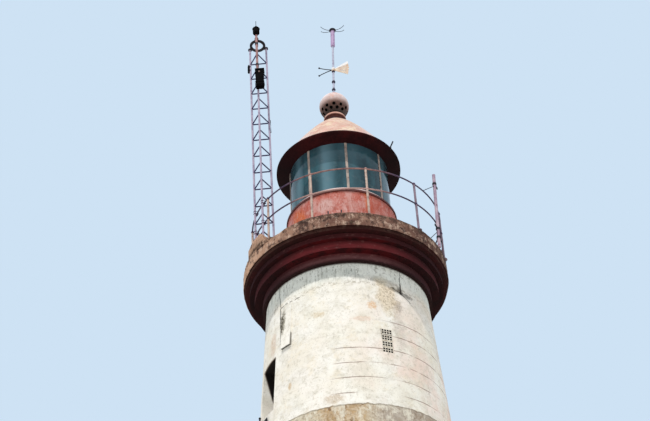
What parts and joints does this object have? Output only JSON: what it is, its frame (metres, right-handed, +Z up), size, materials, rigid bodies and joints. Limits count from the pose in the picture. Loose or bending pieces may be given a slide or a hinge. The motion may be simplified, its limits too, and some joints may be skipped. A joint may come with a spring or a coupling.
{
  "type": "lighthouse",
  "caption": "Round rendered masonry lighthouse with a corbelled gallery and railing, a glazed lantern under a conical roof, a ball ventilator, a weather vane and a lattice mast.",
  "frame": {"origin": "on the ground under the tower's axis", "axes": "+Z up along the tower's axis, -Y towards the picture's camera, +X to its right"},
  "size_m": [4.8398, 5.1599, 22.2186],
  "materials": {
    "plaster": "rough lime render",
    "render_brown": "rough render, weathered",
    "concrete": "cast concrete, weathered",
    "clay": "fired clay, matt",
    "door_wood": "painted boards",
    "rail_iron": "worn paint over rust",
    "pole_iron": "worn paint over rust",
    "mast_iron": "worn paint",
    "dark_iron": "dark, matt",
    "drum_paint": "worn satin paint",
    "sill_paint": "worn satin paint",
    "mullion_paint": "worn satin paint",
    "lantern_glass": "dark polished glass",
    "soffit_paint": "dark worn paint",
    "roof_paint": "worn satin paint",
    "ball_paint": "worn satin paint",
    "spindle_iron": "worn paint",
    "vane_paint": "worn paint"
  },
  "bodies": {
    "tower": {"lower_wall_front": "plaster", "lower_wall_right": "plaster", "lower_wall_back": "plaster", "lower_wall_left": "plaster", "upper_wall_front": "plaster", "upper_wall_right": "plaster", "upper_wall_back": "plaster", "upper_wall_left": "plaster", "plinth": "concrete", "entrance_door": "door_wood", "entrance_step": "concrete", "vent_blocks": "clay", "wall_strip": "plaster", "wall_bracket": "dark_iron", "cornice": "render_brown", "gallery_slab": "concrete", "mast_footing": "concrete", "railing_posts": "rail_iron", "top_rail": "rail_iron", "middle_rail": "rail_iron", "side_pole": "pole_iron", "pole_clamps": "dark_iron", "lantern_drum": "drum_paint", "lantern_sill": "sill_paint", "lantern_mullions": "mullion_paint", "lantern_panes": "lantern_glass", "lantern_head": "mullion_paint", "roof_eave": "soffit_paint", "roof": "roof_paint", "roof_neck": "roof_paint", "ventilator_ball": "ball_paint", "spindle": "spindle_iron", "spindle_cap": "spindle_iron", "mast_lower": "mast_iron", "mast_upper": "mast_iron", "mast_head": "dark_iron", "mast_pipe": "mast_iron", "pipe_clamps": "dark_iron", "beacon": "dark_iron", "mast_cabinet": "dark_iron", "eave_hook": "dark_iron", "pole_stays": "dark_iron"},
    "vane": {"vane_hub": "vane_paint", "vane_tail": "vane_paint", "vane_pointer": "dark_iron"}
  },
  "joints": [
    {"name": "vane_spin", "type": "hinge", "parent": "tower", "child": "vane", "pos_m": [0.03141, 0, 21.04368], "axis": [0.0314, 0, 0.9995], "continuous": true}
  ]
}
